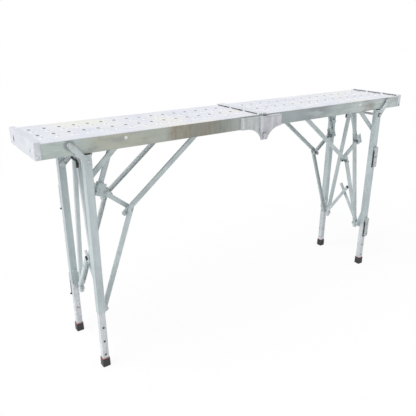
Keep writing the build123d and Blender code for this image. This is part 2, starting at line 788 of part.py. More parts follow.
os.makedirs("parts", exist_ok=True)
for side, turned in {"left": -1, "right": 1}.items():
    latch_row = rows["front"]
    save(f"{side}_deck_sheet", deck_sheet(turned), side)
    save(f"{side}_end_cap", end_cap(), side)
    save(f"{side}_seam_rail", seam_rail(), side)
    save(f"{side}_knee_bearer", knee_bearer(), side)
    save(f"{side}_stay_bearer", stay_bearer(), side)
    save(f"{side}_deck_pins", deck_pins(), side)
    save(f"{side}_rivets", rivets(), side)
    save(f"{side}_straps", straps(), side)
    save(f"{side}_leg_pins", leg_pins(), side)
    save(f"{side}_long_braces", long_braces(), side)
    save(f"{side}_cross_brace", cross_brace(), side)
    save(f"{side}_knees", knees(), side)
    save(f"{side}_upper_stays", upper_stays(), side)
    save(f"{side}_lower_stays", lower_stays(), side)
    save(f"{side}_lock_links", lock_links(), side)
    save(f"{side}_drop_bars", drop_bars(), side)
    save(f"{side}_latch_housings", latch_housings(latch_row), side)
    for name in latch_names:
        save(f"{side}_{name}_latch", latch_lever(name, latch_row), side)
    for row_name, row in rows.items():
        own_row = row * turned
        save(f"{side}_{row_name}_rail", side_rail(own_row), side)
        save(f"{side}_{row_name}_leg", outer_leg(own_row, own_row == latch_row), side)
        save(f"{side}_{row_name}_inner_leg", inner_leg(own_row, own_row == latch_row), side)
        save(f"{side}_{row_name}_foot", foot(own_row), side)
        save(f"{side}_{row_name}_hinge_plate", hinge_plate(side, row), "right")
save("hinge_bolts", hinge_bolts(), "right")
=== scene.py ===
from math import radians

import bpy
import numpy as np
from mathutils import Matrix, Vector


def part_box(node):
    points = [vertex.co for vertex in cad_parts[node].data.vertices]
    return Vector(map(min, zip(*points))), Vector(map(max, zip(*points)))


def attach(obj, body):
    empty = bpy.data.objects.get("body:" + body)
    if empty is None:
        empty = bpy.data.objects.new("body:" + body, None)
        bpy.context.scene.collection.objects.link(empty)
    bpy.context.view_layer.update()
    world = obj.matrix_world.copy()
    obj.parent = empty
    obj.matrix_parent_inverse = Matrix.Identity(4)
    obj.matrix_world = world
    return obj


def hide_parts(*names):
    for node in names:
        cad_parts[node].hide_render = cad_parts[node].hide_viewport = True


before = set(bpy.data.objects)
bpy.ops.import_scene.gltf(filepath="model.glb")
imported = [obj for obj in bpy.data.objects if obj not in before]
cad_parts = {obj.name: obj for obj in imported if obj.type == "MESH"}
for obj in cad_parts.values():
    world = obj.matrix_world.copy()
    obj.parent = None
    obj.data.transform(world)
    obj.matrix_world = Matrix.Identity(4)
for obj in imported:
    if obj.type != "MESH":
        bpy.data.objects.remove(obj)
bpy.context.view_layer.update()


# Tread sheets. Each deck half is one steel sheet, dipped in zinc, with two rows of punched drain holes and
# two rows of grip holes pressed up into short cones. The zinc is nearly white, with faint lilac and straw
# tints, polished by boots round the holes. Painted shade darkens the insides of the holes, a ring round them
# that is partly dirt, and the sheet under the lips of the caps.
class Tone:
    """A value or colour that varies over a surface: one socket of a finish. Sums and products add Math
    nodes."""

    def __init__(self, tree, socket=None):
        self.tree = tree
        self.socket = socket

    def node(self, kind, settings=None, sockets=None, out=0):
        """Add a node, with its settings set first and then the values or links of its sockets."""
        made = self.tree.nodes.new(kind)
        for name, value in (settings or {}).items():
            setattr(made, name, value)
        for name, value in (sockets or {}).items():
            if isinstance(value, Tone):
                self.tree.links.new(value.socket, made.inputs[name])
            else:
                made.inputs[name].default_value = value
        return Tone(self.tree, made.outputs[out])

    def maths(self, operation, *values):
        """One Math node on up to three values."""
        return self.node("ShaderNodeMath", {"operation": operation}, dict(enumerate(values)))

    def __add__(self, other):
        return self.maths("ADD", self, other)

    def __sub__(self, other):
        return self.maths("SUBTRACT", self, other)

    def __rsub__(self, other):
        return self.maths("SUBTRACT", other, self)

    def __mul__(self, other):
        return self.maths("MULTIPLY", self, other)

    def __abs__(self):
        return self.maths("ABSOLUTE", self)

    __radd__ = __add__
    __rmul__ = __mul__

    def rise(self, low, high):
        """0 below the low value and 1 above the high one, smooth between them; swapped ends make it fall."""
        sockets = {"Value": self, "From Min": low, "From Max": high}
        return self.node("ShaderNodeMapRange", {"interpolation_type": "SMOOTHSTEP"}, sockets)

    def window(self, low, high, soft):
        """1 between two values and 0 outside them, with soft sides."""
        return self.rise(low - soft, low + soft) * self.rise(high + soft, high - soft)

    def from_spot(self, other):
        """Distance from a spot, as the length of two offsets that stand square to each other."""
        return self.maths("SQRT", self * self + other * other)

    def mix(self, first, second):
        """The first colour where this is 0, and the second where it is 1."""
        return self.node("ShaderNodeMix", {"data_type": "RGBA"}, {0: self, 6: first, 7: second}, out=2)

    def along(self, axis):
        """One coordinate of a place on the object, in metres."""
        return self.node("ShaderNodeSeparateXYZ", sockets={0: self}, out=axis)

    def cloud(self, size, stretch=(1, 1, 1), detail=3):
        """Soft noise with features of a given size in metres, stretched along an axis."""
        scale = tuple(1 / (size * part) for part in stretch)
        place = self.node("ShaderNodeMapping", sockets={"Vector": self, "Scale": scale})
        return place.node("ShaderNodeTexNoise", sockets={"Vector": place, "Scale": 1, "Detail": detail})

    def feed(self, shader, name):
        """Link this to a socket of a shader."""
        self.tree.links.new(self.socket, shader.inputs[name])


def new_finish(name):
    """An empty finish, its shader, and the place on the object that its maths starts from."""
    finish = bpy.data.materials.new(name)
    finish.use_nodes = True
    shader = finish.node_tree.nodes["Principled BSDF"]
    place = Tone(finish.node_tree).node("ShaderNodeTexCoord", out="Object")
    return finish, shader, place


def worn_edge(place, radius):
    """The rounded normal at sharp edges, and a mask that is 1 along them."""
    rounded = place.node("ShaderNodeBevel", {"samples": 6}, {"Radius": radius})
    flat = place.node("ShaderNodeNewGeometry", out="Normal")
    normals = {0: rounded, 1: flat}
    facing = place.node("ShaderNodeVectorMath", {"operation": "DOT_PRODUCT"}, normals, out="Value")
    return rounded, facing.rise(0.99, 0.75)


# Painted shade: the colour that the corners and hollows of the zinc are darkened towards.
corner_shade = (0.24, 0.26, 0.255, 1)
zinc_metal = 0.25
hand_width = 0.11
thumb_width = 0.02
spangles_per_metre = 90
corner_reach = 0.016
dirt_and_shade_size = 0.012
streak_width = 0.006
scratch_width = 0.0012
rubbed_radius = 0.0016
grain_size = 0.0022
ripple_size = 0.03
zinc_relief = 0.001


def zinc(name, colour, shade, edge, rough=0.43, run=(1, 1, 1), streaks=0.25, blotch=0.55, grime_and_shade=0.35,
         corner=corner_shade, marks=None):
    """Zinc coat on steel. The colour drifts to its shade in clouds a hand wide and in blotches a thumb wide,
    the spangle is crystals 11 mm across, streaks follow the way the strip ran, the corners and hollows are
    darkened in patches by painted shade that is partly dirt, and edges are rubbed bright."""
    finish, shader, place = new_finish(name)
    drift = place.cloud(hand_width, detail=4).rise(0.36, 0.66)
    patch = place.cloud(thumb_width, tuple(min(part, 5) for part in run), detail=5).rise(0.42, 0.62)
    crystals = {"Vector": place, "Scale": spangles_per_metre}
    spangle = place.node("ShaderNodeTexVoronoi", sockets=crystals, out="Color")
    # Painted shade, partly dirt: the occlusion node finds corners and hollows, and a patchy share of them
    # takes the corner colour.
    nearby = {"samples": 8, "only_local": True}
    hidden = place.node("ShaderNodeAmbientOcclusion", nearby, {"Distance": corner_reach}, out="AO")
    dirt_and_shade = hidden.rise(0.72, 0.3) * place.cloud(dirt_and_shade_size).rise(0.25, 0.6)
    streak = place.cloud(streak_width, run, detail=2).rise(0.48, 0.68)
    scratch = place.cloud(scratch_width, run, detail=1).rise(0.66, 0.72)
    rounded, rubbed = worn_edge(place, rubbed_radius)
    tint = (drift * 0.55 + patch * blotch + spangle * 0.25 - 0.2).mix(colour, shade)
    tint = (streak * streaks).mix(tint, shade)
    tint = (scratch * 0.35).mix(tint, edge)
    if marks:
        tint = marks(place, tint)
    # Painted shade, partly dirt, in the corners and hollows.
    tint = (dirt_and_shade * grime_and_shade).mix(tint, corner)
    tint = (rubbed * 0.6).mix(tint, edge)
    tint.feed(shader, "Base Color")
    dull = patch * 0.12 + spangle * 0.12 + streak * 0.06 + dirt_and_shade * 0.2
    (rough + dull - rubbed * 0.1 - 0.12).feed(shader, "Roughness")
    (zinc_metal + rubbed * 0.25 - patch * 0.12 - dirt_and_shade * 0.2).feed(shader, "Metallic")
    grain = place.cloud(grain_size, detail=2) * 0.5 + place.cloud(ripple_size) * 2 - scratch * 0.3
    bump = {"Strength": 0.12, "Distance": zinc_relief, "Height": grain, "Normal": rounded}
    place.node("ShaderNodeBump", sockets=bump).feed(shader, "Normal")
    return finish


def dress(node, finish):
    """Give a piece its finish."""
    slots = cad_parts[node].data.materials
    slots.clear()
    slots.append(finish)


sides = {"left": -1, "right": 1}
deck_half = 0.95
seam_column = 0.075
column_pitch = 0.055
row_pitch = 0.054
drain_row_y = 0.081
row_soft = 0.003
grid_side = 0.099
grid_soft = 0.001
grip_radius = 0.0040
drain_radius = 0.0066
hole_soft = 0.0002
wipe_reach = 0.0018
wipe_inside = 0.0006
wipe_squash = 0.4
straw_size = 0.25
scuff_size = 0.004
scuff_run = (12, 3, 1)
polish_inner = 0.010
polish_outer = 0.016
clean_from = 0.3
lip_reach = 0.020
lip_edge = deck_half - lip_reach
lip_soft = 0.0005
along_deck = (40, 1, 1)
sheet_white = (0.74, 0.76, 0.81, 1)
sheet_lilac = (0.66, 0.68, 0.77, 1)
sheet_straw = (0.80, 0.79, 0.70, 1)
sheet_bright = (0.86, 0.87, 0.89, 1)
# Dirt and painted shade: the grey of the ring round each hole.
sheet_dirt_and_shade = (0.34, 0.35, 0.35, 1)
# Painted shade: the near black of hole insides, of drain slots and of the sheet under the lips.
hole_shade = (0.10, 0.105, 0.10, 1)


def tread_marks(place, tint):
    """Straw tint in patches, a dark ring of dirt and painted shade at each hole's edge, wiped out across the
    deck and fainter on the right half, and a polished ring outside it. The insides of the holes are painted
    shade. A hole's distance is the length of the two offsets from the nearest crossing of the hole grid.
    What lies under the lips of the end caps and seam rails is darkened by painted shade."""
    tint = (place.cloud(straw_size).rise(0.5, 0.68) * 0.7).mix(tint, sheet_straw)
    half_column = column_pitch / 2
    half_row = row_pitch / 2
    away = abs(place.along(0))
    y = place.along(1)
    across = place.maths("WRAP", away - seam_column, half_column, -half_column)
    beside = place.maths("WRAP", y - half_row, half_row, -half_row)
    distance = across.from_spot(beside)
    wiped = place.maths("SQRT", across * across + beside * beside * wipe_squash)
    on_grid = abs(y).rise(grid_side + grid_soft, grid_side - grid_soft)
    tint = (distance.rise(polish_outer, polish_inner) * on_grid * 0.7).mix(tint, sheet_bright)
    from_drains = abs(place.maths("WRAP", y - drain_row_y, row_pitch, -row_pitch))
    drain_row = from_drains.rise(half_row + row_soft, half_row - row_soft)
    edge = grip_radius + drain_row * (drain_radius - grip_radius)
    cleaner = place.along(0).rise(clean_from, 0) * 0.6 + 0.4
    # Dirt and painted shade: a dark ring round each hole, strongest at the drain holes.
    smear_and_shade = (wiped - edge).rise(wipe_reach, -wipe_inside) * on_grid
    tint = (smear_and_shade * (drain_row * 0.65 + 0.1) * cleaner).mix(tint, sheet_dirt_and_shade)
    # Painted shade: the inside of each hole is darkened.
    rim = (distance - edge).rise(hole_soft, -hole_soft) * on_grid
    tint = (rim * (drain_row * 0.4 + 0.6)).mix(tint, hole_shade)
    scuff = place.cloud(scuff_size, scuff_run, detail=1).rise(0.6, 0.75)
    tint = (scuff * 0.3).mix(tint, sheet_bright)
    # Painted shade under the lips of the end caps and seam rails.
    end_lip = away.rise(lip_edge - lip_soft, lip_edge + lip_soft)
    seam_lip = away.rise(lip_reach + lip_soft, lip_reach - lip_soft)
    return ((end_lip + seam_lip) * 0.85).mix(tint, hole_shade)


tread_zinc = zinc("tread_zinc", sheet_white, sheet_lilac, sheet_bright, run=along_deck, streaks=0.15,
                  marks=tread_marks)
for side in sides:
    dress(f"{side}_deck_sheet", tread_zinc)


# Side rails. Folded steel channels along both edges of each half, riveted under the sheet. The zinc here is
# duller and greener than on top, with rolling streaks along it. The left rails have a brown stain with rust
# in it and a straw one, and the right rails have dark patches and a brown one. Round each strap stud the
# rail is darkened by painted shade.
rows = {"front": -1, "rear": 1}
rail_grey = {"left": (0.52, 0.59, 0.565, 1), "right": (0.53, 0.58, 0.58, 1)}
rail_shade = {"left": (0.41, 0.47, 0.45, 1), "right": (0.40, 0.45, 0.455, 1)}
rail_dull = {"left": (0.235, 0.25, 0.225, 1), "right": (0.33, 0.38, 0.395, 1)}
rail_warm = (0.395, 0.412, 0.36, 1)
rail_pale = (0.47, 0.505, 0.51, 1)
rail_edge = (0.74, 0.76, 0.77, 1)
stain_brown = (0.26, 0.235, 0.18, 1)
stain_rust = (0.34, 0.23, 0.13, 1)
stain_straw = (0.52, 0.51, 0.39, 1)
# A dark stain colour, also used for the painted shade round the strap studs.
stain_and_shade_dark = (0.22, 0.24, 0.24, 1)
stud_x = 0.836
stud_z = 0.917
stud_shade_inner = 0.014
stud_shade_outer = 0.024
left_warm_span = (-0.82, -0.72)
left_dull_span = (-0.48, -0.28)
left_pale_span = (-0.21, -0.12)
left_brown_patch = (-0.45, -0.25, 0.03)
left_rust_patch = (-0.445, -0.395, 0.015)
left_straw_patch = (-0.76, -0.56, 0.05)
left_dark_patch = (-0.80, -0.30, 0.05)
left_blot = 0.024
left_cloud = 0.03
drip_width = 0.012
drip_run = (0.8, 1, 5)
right_dull_span = (0.5, 0.18)
right_dark_patch = (0.275, 0.40, 0.04)
right_faint_patch = (0.21, 0.27, 0.03)
right_brown_patch = (0.655, 0.735, 0.03)
right_blot = 0.02


def stud_shade(place, tint):
    """Painted shade round the strap stud, fading with the distance from it along the rail and up it."""
    beside = abs(place.along(0)) - stud_x
    above = place.along(2) - stud_z
    return (beside.from_spot(above).rise(stud_shade_outer, stud_shade_inner) * 0.6).mix(tint, stain_and_shade_dark)


def left_rail_marks(place, tint):
    """The zinc dulls towards the hinge and is paler again beside it. The brown, rusty, straw and dark stains
    are soft windows along the rail, most of them broken up by streaky noise."""
    x = place.along(0)
    patchy = place.cloud(left_blot, (3, 1, 1), detail=4).rise(0.38, 0.62)
    upright = place.cloud(drip_width, drip_run, detail=4).rise(0.4, 0.62)
    cloudy = place.cloud(left_cloud, (2, 1, 1)).rise(0.5, 0.7)
    tint = (x.rise(*left_warm_span) * 0.75).mix(tint, rail_warm)
    tint = (x.rise(*left_dull_span) * (0.6 + upright * 0.3)).mix(tint, rail_dull["left"])
    tint = (x.window(*left_brown_patch) * (0.5 + upright * 0.4)).mix(tint, stain_brown)
    tint = (x.window(*left_rust_patch) * upright * 0.6).mix(tint, stain_rust)
    tint = (x.rise(*left_pale_span) * 0.6).mix(tint, rail_pale)
    tint = (x.window(*left_straw_patch) * patchy * 0.45).mix(tint, stain_straw)
    tint = (x.window(*left_dark_patch) * cloudy * 0.35).mix(tint, stain_and_shade_dark)
    return stud_shade(place, tint)


def right_rail_marks(place, tint):
    """The zinc dulls towards the hinge. Two dark patches and a brown one are soft windows along the rail,
    most of them broken up by streaky noise."""
    x = place.along(0)
    patchy = place.cloud(right_blot, (5, 1, 1), detail=4).rise(0.4, 0.62)
    tint = (x.rise(*right_dull_span) * 0.75).mix(tint, rail_dull["right"])
    tint = (x.window(*right_dark_patch) * patchy * 0.6).mix(tint, stain_and_shade_dark)
    tint = (x.window(*right_faint_patch) * 0.22).mix(tint, stain_and_shade_dark)
    tint = (x.window(*right_brown_patch) * (0.2 + patchy * 0.35)).mix(tint, stain_brown)
    return stud_shade(place, tint)


rail_marks = {"left": left_rail_marks, "right": right_rail_marks}
for side in sides:
    rail_zinc = zinc(f"{side}_rail_zinc", rail_grey[side], rail_shade[side], rail_edge, run=along_deck,
                     streaks=0.4, marks=rail_marks[side])
    for row in rows:
        dress(f"{side}_{row}_rail", rail_zinc)


# End caps and seam rails. Pressed caps close the outer ends and wrap round the corners, and a cross channel
# closes each half at the hinge. Both carry the same pale zinc as the sheet, streaked across the deck, with
# painted shade round the ovals of the end faces and in the drain slots under the lips.
cap_white = (0.69, 0.72, 0.76, 1)
cap_shade = (0.59, 0.62, 0.675, 1)
across_deck = (1, 30, 1)
oval_y = 0.105
oval_z = 0.906
oval_squash = 0.6
oval_inner = 0.005
oval_outer = 0.010
drain_low = 0.935
drain_top = 0.9386
drain_depth = 0.012
drain_side = 0.140
drain_mouth = 0.001
drain_over = 0.0005
drain_soft = 0.0004
drain_soft_up = 0.0003
drain_soft_side = 0.001


def cap_marks(place, tint):
    """Painted shade round the two ovals in the end face, by the distance from each oval's middle with its
    height shrunk, darker at one oval of each pair, and inside the drain slots under the lips, in windows
    along the deck, across it and up it."""
    x = place.along(0)
    y = place.along(1)
    z = place.along(2)
    distance = (abs(y) - oval_y).from_spot((z - oval_z) * oval_squash)
    blacker = (x * y).rise(0.001, -0.001) * 0.75 + 0.1
    tint = (distance.rise(oval_outer, oval_inner) * blacker).mix(tint, hole_shade)
    end_slot = abs(x).window(lip_edge + drain_mouth, lip_edge + drain_depth + drain_over, drain_soft)
    seam_slot = abs(x).window(lip_reach - drain_depth - drain_over, lip_reach - drain_mouth, drain_soft)
    between = abs(y).rise(drain_side + drain_soft_side, drain_side)
    inside = z.window(drain_low, drain_top, drain_soft_up) * between
    return ((end_slot + seam_slot) * inside * 0.85).mix(tint, hole_shade)


cap_zinc = zinc("cap_zinc", cap_white, cap_shade, sheet_bright, run=across_deck, marks=cap_marks)
for side in sides:
    dress(f"{side}_end_cap", cap_zinc)
    dress(f"{side}_seam_rail", cap_zinc)


# Bearers. Cross channels of steel strip under the sheet, with cheek plates that hold the pivots of the
# links. Their zinc is darker and duller than that of the rails.
bearer_grey = (0.40, 0.44, 0.45, 1)
bearer_shade = (0.28, 0.31, 0.32, 1)
bearer_zinc = zinc("bearer_zinc", bearer_grey, bearer_shade, rail_edge, rough=0.55, run=across_deck)
for side in sides:
    dress(f"{side}_knee_bearer", bearer_zinc)
    dress(f"{side}_stay_bearer", bearer_zinc)


# Centre hinge. Dished plates riveted outside the rails, the right one lapping over the left, on shouldered
# bolts. The left plates are greenish like their rails, with a painted highlight across the outer end, and
# the right ones are paler, with a lilac cast and painted shade in two pressed lines.
hinge_grey = {"left": (0.55, 0.58, 0.59, 1), "right": (0.65, 0.66, 0.705, 1)}
hinge_shade = {"left": (0.42, 0.45, 0.455, 1), "right": (0.48, 0.49, 0.53, 1)}
# A dark dirt colour for pins, also used for the painted shade in the hinge plates' pressed lines.
pin_dirt_and_shade = (0.20, 0.21, 0.21, 1)
up_plate = (1, 1, 12)
plate_end = 0.1125
plate_end_half = 0.004
plate_end_soft = 0.002
crease_x = 0.009
crease_z = 0.925
crease_half = 0.0012
crease_soft = 0.001


def left_hinge_marks(place, tint):
    """A painted highlight in a strip across the plate's outer end: a narrow window along the deck."""
    away = abs(place.along(0))
    strip = away.window(plate_end - plate_end_half, plate_end + plate_end_half, plate_end_soft)
    return (strip * 0.4).mix(tint, sheet_bright)


def right_hinge_marks(place, tint):
    """Painted shade in two pressed lines, one upright near the lapped edge and one level under the top: thin
    windows."""
    x = place.along(0)
    upright = x.window(-crease_x - crease_half, -crease_x + crease_half, crease_soft)
    level = place.along(2).window(crease_z - crease_half, crease_z + crease_half, crease_soft)
    level = level * x.rise(-crease_x, 0)
    return ((upright + level) * 0.45).mix(tint, pin_dirt_and_shade)


hinge_marks = {"left": left_hinge_marks, "right": right_hinge_marks}
for side in sides:
    hinge_zinc = zinc(f"{side}_hinge_zinc", hinge_grey[side], hinge_shade[side], sheet_bright, run=up_plate,
                      marks=hinge_marks[side])
    for row in rows:
        dress(f"{side}_{row}_hinge_plate", hinge_zinc)


# Pins, rivets and bolts. Turned and headed steel with a bright zinc plate, dulled in places by dirt. The
# rivets at the left end have taken the cap's colour, and those at the right end are dark.
pin_plate = (0.56, 0.58, 0.59, 1)
rivet_white = (0.84, 0.85, 0.86, 1)
rivet_dirt = (0.50, 0.51, 0.51, 1)
rivet_soft = 0.005
plate_grain = 0.0015
plate_relief = 0.0005
head_edge = 0.001


def plated(name, colour, dirt_and_shade, rough, metal=0.75, marks=None):
    """Bright plate: fine noise in colour and gloss, darker in clouds of dirt, with rubbed edges."""
    finish, shader, place = new_finish(name)
    grime_and_shade = place.cloud(dirt_and_shade_size, detail=4).rise(0.45, 0.7)
    fine = place.cloud(plate_grain, detail=2)
    rounded, rubbed = worn_edge(place, head_edge)
    tint = (grime_and_shade * 0.6 + fine * 0.2 - 0.1).mix(colour, dirt_and_shade)
    tint = (rubbed * 0.5).mix(tint, sheet_bright)
    if marks:
        tint = marks(place, tint)
    tint.feed(shader, "Base Color")
    (rough + grime_and_shade * 0.2 - fine * 0.08).feed(shader, "Roughness")
    (metal - grime_and_shade * 0.35).feed(shader, "Metallic")
    bump = {"Strength": 0.08, "Distance": plate_relief, "Height": fine, "Normal": rounded}
    place.node("ShaderNodeBump", sockets=bump).feed(shader, "Normal")
    return finish


def cap_rivet_marks(place, tint):
    """The rivets past the edge of the end lips: those at the left end match the cap, those at the right are
    darker."""
    x = place.along(0)
    tint = (x.rise(rivet_soft - lip_edge, -lip_edge) * 0.9).mix(tint, cap_shade)
    return (x.rise(lip_edge - rivet_soft, lip_edge) * 0.75).mix(tint, pin_dirt_and_shade)


pin_finish = plated("pin_finish", pin_plate, pin_dirt_and_shade, 0.34)
rivet_finish = plated("rivet_finish", rivet_white, rivet_dirt, 0.4, 0.3, cap_rivet_marks)
for side in sides:
    dress(f"{side}_deck_pins", pin_finish)
    dress(f"{side}_leg_pins", pin_finish)
    dress(f"{side}_rivets", rivet_finish)
dress("hinge_bolts", pin_finish)


# Hanger straps. Flat bars outside the rails, from a stud near the deck's end down to the head rod of the
# legs. Pale zinc with the edges rubbed bright, and a painted shadow round the lower pivot of the right ones.
strap_grey = (0.56, 0.62, 0.63, 1)
strap_shade = (0.44, 0.50, 0.51, 1)
# Painted shade: the near black of the spots at the pivots and joints.
joint_shade = (0.035, 0.036, 0.036, 1)
leg_x = 0.779
head_rod_z = 0.852
pivot_shade_inner = 0.010
pivot_shade_outer = 0.014


def strap_marks(place, tint):
    """A painted shadow round the right straps' lower pivot, by the distance from it along the deck and up
    it.
    """
    beside = place.along(0) - leg_x
    above = place.along(2) - head_rod_z
    return (beside.from_spot(above).rise(pivot_shade_outer, pivot_shade_inner) * 0.85).mix(tint, joint_shade)


strap_zinc = zinc("strap_zinc", strap_grey, strap_shade, rail_edge, run=(4, 1, 4), marks=strap_marks)
for side in sides:
    dress(f"{side}_straps", strap_zinc)


# Outer legs. Square welded tubes, galvanised after cutting, so the zinc runs down them in long faint streaks
# and lies paler in places. A black rubber plug is pushed into the top of each, with a flange over its edge.
down_tube = (1, 1, 45)
leg_grey = (0.545, 0.615, 0.63, 1)
leg_shade = (0.41, 0.475, 0.49, 1)
leg_edge = (0.76, 0.79, 0.80, 1)
leg_zinc = zinc("leg_zinc", leg_grey, leg_shade, leg_edge, run=down_tube, streaks=0.3, blotch=0.3)
for side in sides:
    for row in rows:
        dress(f"{side}_{row}_leg", leg_zinc)


rubber_scuff = 0.01
rubber_grain = 0.0012
rubber_relief = 0.0004
band_soft = 0.0004


def rubber(name, colour, scuffed, rim_height=None, rim_colour=None):
    """Moulded rubber: a faint grain, grey scuffs in patches, and a coloured band above a given height."""
    finish, shader, place = new_finish(name)
    scuff = place.cloud(rubber_scuff, (1, 1, 2), detail=4).rise(0.5, 0.75)
    grain = place.cloud(rubber_grain, detail=2)
    tint = (scuff * 0.5 + grain * 0.2).mix(colour, scuffed)
    if rim_height:
        band = place.along(2).rise(rim_height - band_soft, rim_height + band_soft)
        tint = band.mix(tint, rim_colour)
    tint.feed(shader, "Base Color")
    (0.42 + scuff * 0.2 + grain * 0.1).feed(shader, "Roughness")
    bump = {"Strength": 0.2, "Distance": rubber_relief, "Height": grain + scuff * 0.3}
    place.node("ShaderNodeBump", sockets=bump).feed(shader, "Normal")
    return finish


def add_piece(name, points, faces, finish, body):
    """Put a surface into the scene as a piece that rides on a body."""
    mesh = bpy.data.meshes.new(name)
    mesh.from_pydata(points.tolist(), [], faces)
    mesh.materials.append(finish)
    piece = bpy.data.objects.new(name, mesh)
    bpy.context.scene.collection.objects.link(piece)
    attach(piece, body)
    return piece


def lathe_faces(rings, around):
    """Quads between closed rings of points, with a fan of triangles to a pole at each end."""
    step = np.arange(around)
    ahead = (step + 1) % around
    ring = np.arange(rings - 1)[:, None] * around
    quads = np.stack([ring + step, ring + ahead, ring + around + ahead, ring + around + step], axis=-1)
    first_pole = rings * around
    last_pole = first_pole + 1
    top = (rings - 1) * around
    start = np.stack([np.full(around, first_pole), ahead, step], axis=-1)
    end = np.stack([np.full(around, last_pole), top + step, top + ahead], axis=-1)
    return quads.reshape(-1, 4).tolist() + start.tolist() + end.tolist()


def moulded(base, along, side, half, steps, corner, around=48):
    """Points and faces of a closed moulding. Each step is a distance along the axis and a share of the half
    widths. Its ring is a superellipse, where the sum of |x| and |y| to the power of the corner value is 1.
    The first and last rings close on poles."""
    base, along, side = (np.array(part, float) for part in (base, along, side))
    steps = np.array(steps, float)
    angle = np.linspace(0, 2 * np.pi, around, endpoint=False)
    reach = (np.abs(np.cos(angle)) ** corner + np.abs(np.sin(angle)) ** corner) ** (-1 / corner)
    wide = np.outer(reach * np.cos(angle), side * half[0])
    deep = np.outer(reach * np.sin(angle), np.cross(along, side) * half[1])
    axis = base + steps[:, :1] * along
    rings = axis[:, None] + steps[:, 1, None, None] * (wide + deep)
    points = np.concatenate([rings.reshape(-1, 3), axis[:1], axis[-1:]])
    return points, lathe_faces(len(steps), around)


plug_black = (0.016, 0.016, 0.017, 1)
plug_scuff = (0.06, 0.06, 0.062, 1)
plug_rubber = rubber("plug_rubber", plug_black, plug_scuff)
up = (0, 0, 1)
along_x = (1, 0, 0)
leg_half = 0.014
inner_half = 0.0122
plug_skirt = 0.011
plug_flange = 0.0016
plug_lift = 0.0002
plug_corner = 12
plug_top = plug_skirt + plug_flange
plug_steps = [(0, 0.86), (plug_skirt + plug_lift, 0.88), (plug_skirt + plug_lift, 1),
              (plug_skirt + plug_flange / 2, 1), (plug_top, 0.93), (plug_top, 0.8)]
for side in sides:
    for row in rows:
        low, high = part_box(f"{side}_{row}_leg")
        middle_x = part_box(f"{side}_{row}_inner_leg")[0][0] + inner_half
        middle_y = rows[row] * (max(abs(low[1]), abs(high[1])) - leg_half)
        base = (middle_x, middle_y, high[2] - plug_skirt)
        points, faces = moulded(base, up, along_x, (leg_half, leg_half), plug_steps, plug_corner)
        add_piece(f"{side}_{row}_leg_plug", points, faces, plug_rubber, f"{side}_leg_frame")


# Inner legs. Smaller bright tubes that slide in the outer ones and lock by pins in the height holes. They
# are near white, scored lengthwise by the sliding and smeared grey at the holes, and the rear ones have
# dark speckle.
inner_white = (0.69, 0.72, 0.75, 1)
inner_shade = (0.55, 0.585, 0.61, 1)
inner_bright = (0.84, 0.85, 0.87, 1)
inner_smear = (0.38, 0.41, 0.42, 1)
speckle_dark = (0.14, 0.145, 0.15, 1)
first_hole = 0.056
half_pitch = 0.0315
hole_smear_inner = 0.004
hole_smear_outer = 0.014
hole_smear_size = 0.008
score_width = 0.0035
score_run = (1, 1, 14)
speckle_size = 0.0065
speckle_run = (1, 1, 1.4)


def slide_marks(place, tint):
    """Dark scores along the tube, and smears that thicken at each height hole. A hole's distance is the
    height wrapped over the hole pitch."""
    score = place.cloud(score_width, score_run, detail=2).rise(0.6, 0.72)
    tint = (score * 0.45).mix(tint, inner_smear)
    height = abs(place.maths("WRAP", place.along(2) - first_hole, half_pitch, -half_pitch))
    ragged = place.cloud(hole_smear_size, (1, 1, 2)).rise(0.45, 0.65)
    smear_and_shade = height.rise(hole_smear_outer, hole_smear_inner) * ragged
    return (smear_and_shade * 0.4).mix(tint, inner_smear)


def rear_slide_marks(place, tint):
    """The same marks, with dark speckle in small spots of noise."""
    speckle = place.cloud(speckle_size, speckle_run, detail=1).rise(0.62, 0.68)
    return (speckle * 0.75).mix(slide_marks(place, tint), speckle_dark)


inner_marks = {"front": slide_marks, "rear": rear_slide_marks}
for row in rows:
    inner_zinc = zinc(f"{row}_inner_zinc", inner_white, inner_shade, inner_bright, run=down_tube,
                      marks=inner_marks[row])
    for side in sides:
        dress(f"{side}_{row}_inner_leg", inner_zinc)


# Foot caps. Black rubber pushed over the bottom of each inner leg, square with soft corners, a little wider
# at the floor, with a dark red seal moulded into the rim.
foot_black = (0.022, 0.022, 0.024, 1)
foot_scuff = (0.075, 0.075, 0.078, 1)
seal_red = (0.36, 0.11, 0.12, 1)
foot_corner = 9
foot_around = 96
foot_taper = 0.975
foot_waist = 0.988
foot_wall = 0.0034
foot_seat = 0.0003
rim_depth = 0.0022
rim_round = 0.0006
sole_edge = 0.0022


def foot_profile(half, height, sole):
    """Heights and half widths of a foot cap in metres, as the steps of a moulding whose own half widths are
    1: out under the sole on a quarter circle, up the flared side, over a round rim, down the socket and in
    to its floor."""
    top = half * foot_taper
    socket = top - foot_wall
    quarter = np.linspace(0, np.pi / 2, 5)
    widths = np.concatenate([half - sole_edge * (1 - np.sin(quarter)), [half * foot_waist],
                             top - rim_depth / 2 * (1 - np.cos(quarter)),
                             [socket + rim_round, socket, socket]])
    heights = np.concatenate([sole_edge * (1 - np.cos(quarter)), [height / 2],
                              height - rim_depth * (1 - np.sin(quarter)),
                              [height, height - rim_depth, sole]])
    return np.stack([heights, widths], axis=-1)


